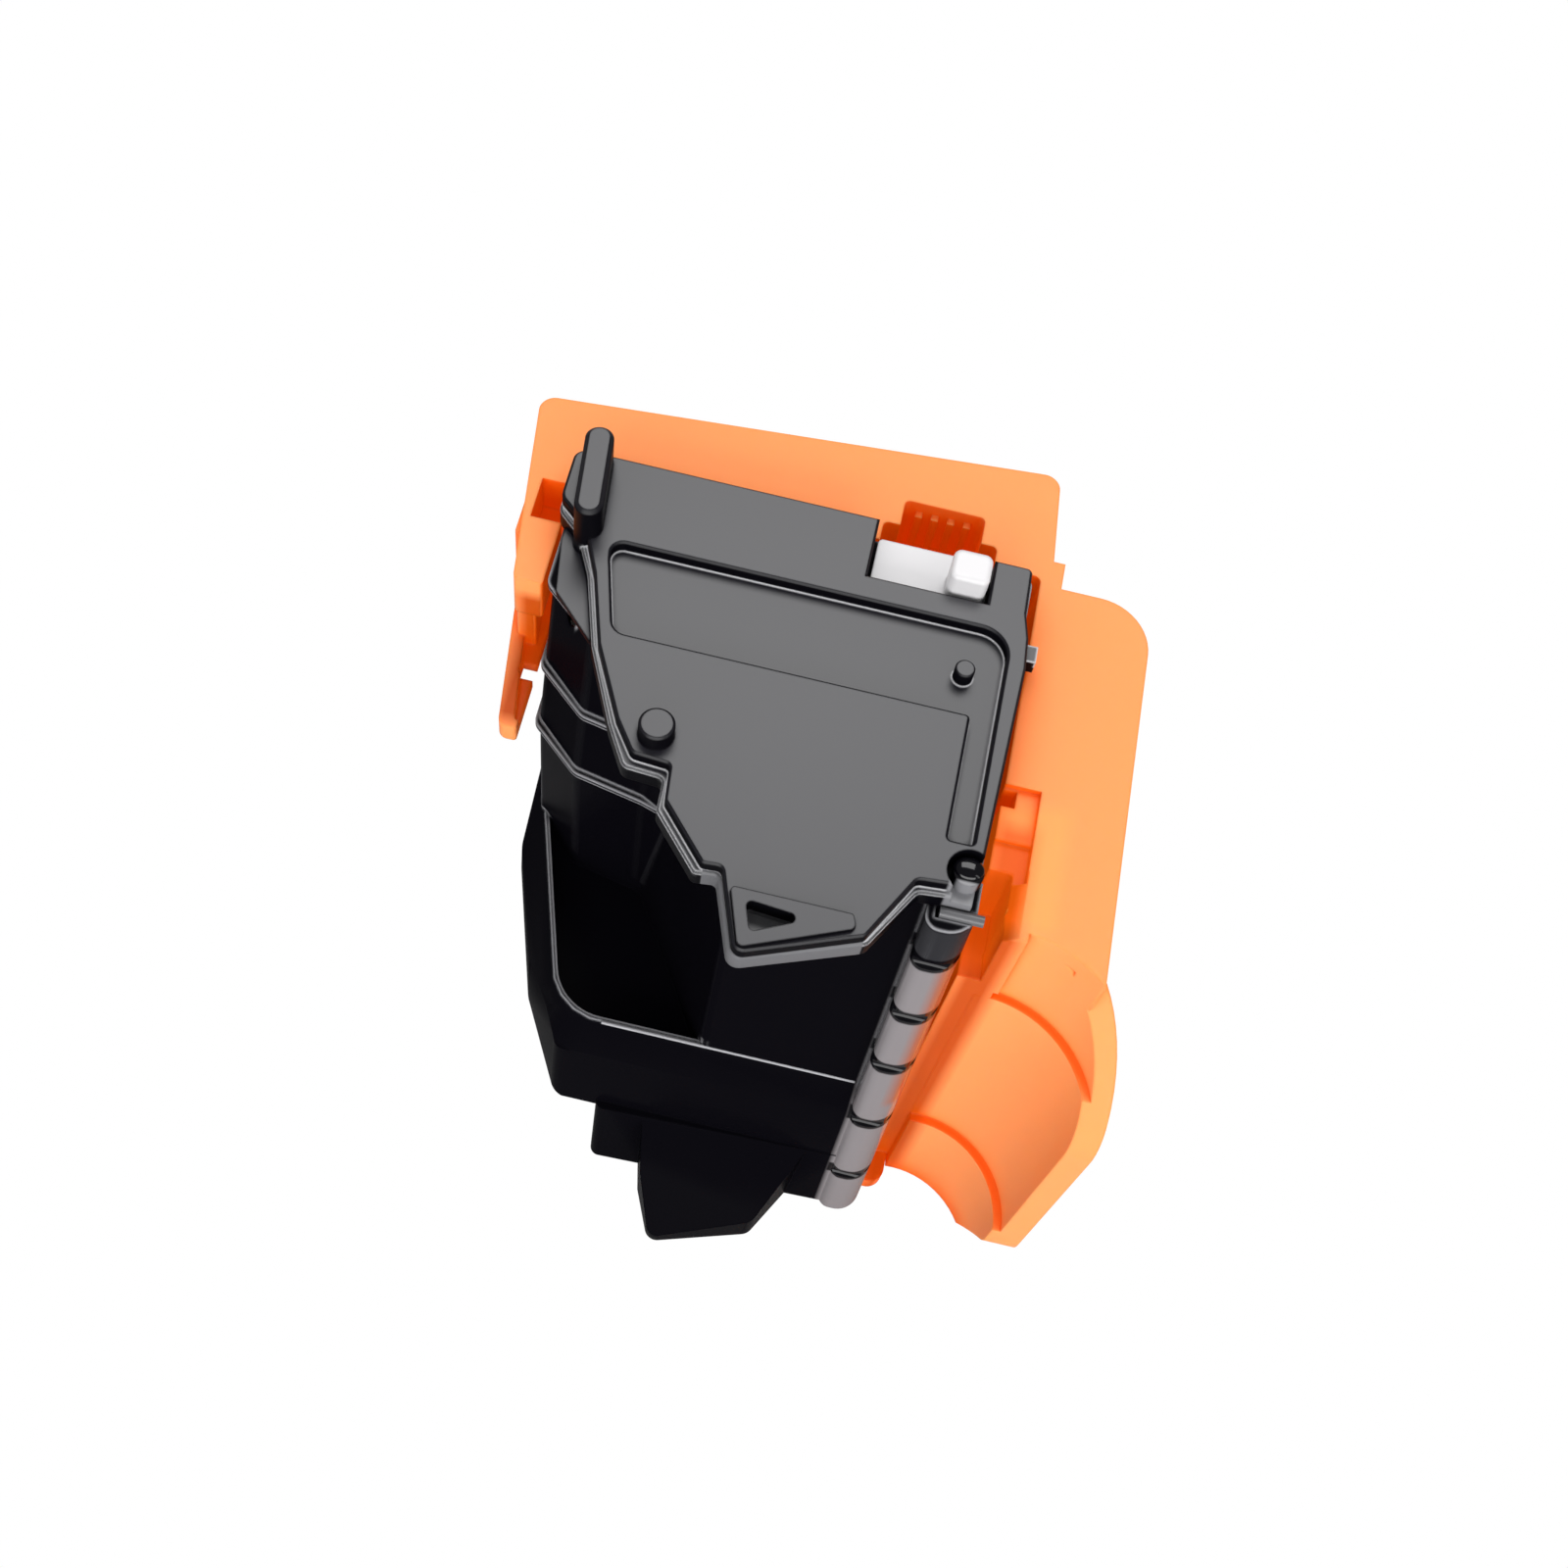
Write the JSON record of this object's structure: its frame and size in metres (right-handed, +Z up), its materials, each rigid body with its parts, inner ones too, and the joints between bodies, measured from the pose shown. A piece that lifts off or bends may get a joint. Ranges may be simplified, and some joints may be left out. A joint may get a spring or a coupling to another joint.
{
  "type": "inkjet printhead",
  "caption": "Plug-in inkjet printhead: a grey lid with dowels and an ink inlet on a ribbed black housing, with its orange protective cap clipped over nozzles and contacts.",
  "frame": {"origin": "on the cap's flat underside, under the middle of the lid's width", "axes": "+Z up out of the lid, +X to the right of the lid, -Y towards the front tongue"},
  "size_m": [0.0584, 0.0573, 0.0665],
  "materials": {
    "housing_black": "gloss moulded black with polished ribs",
    "lid_grey": "satin dark grey moulding",
    "cap_orange": "satin orange moulding, slightly see-through at thin edges",
    "inlet_white": "white moulded",
    "seal_rubber": "matt black",
    "cushion_rubber": "matt grey foam rubber",
    "ink_foam": "open-cell foam",
    "steel_mesh": "fine woven mesh",
    "inner_plastic": "natural moulded",
    "manifold_ceramic": "fired alumina",
    "silicon": "polished silicon",
    "nickel": "gold-flashed nickel",
    "flex_film": "amber film with copper tracks",
    "contact_gold": "gold plated",
    "epoxy": "cured black resin",
    "vent_film": "white porous film",
    "pin_steel": "dark bright pin"
  },
  "bodies": {
    "printhead": {"housing": "housing_black", "lid": "lid_grey", "inlet_fitting": "inlet_white", "inlet_grommet": "seal_rubber", "feed_tube": "inner_plastic", "ink_foam": "ink_foam", "filter_screen": "steel_mesh", "filter_frame": "inner_plastic", "vent_membrane": "vent_film", "vent_ring": "inner_plastic", "manifold_gasket": "seal_rubber", "manifold": "manifold_ceramic", "nozzle_die": "silicon", "orifice_plate": "nickel", "flex_circuit": "flex_film", "contact_pads": "contact_gold", "encapsulant_beads": "epoxy", "hook_pin": "pin_steel"},
    "cap": {"cap_shell": "cap_orange", "nozzle_seal": "seal_rubber", "contact_cushion": "cushion_rubber"}
  },
  "joints": [
    {"name": "cap_pull", "type": "slide", "parent": "printhead", "child": "cap", "axis": [0, 1, 0], "range_m": [0, 0.045]}
  ]
}
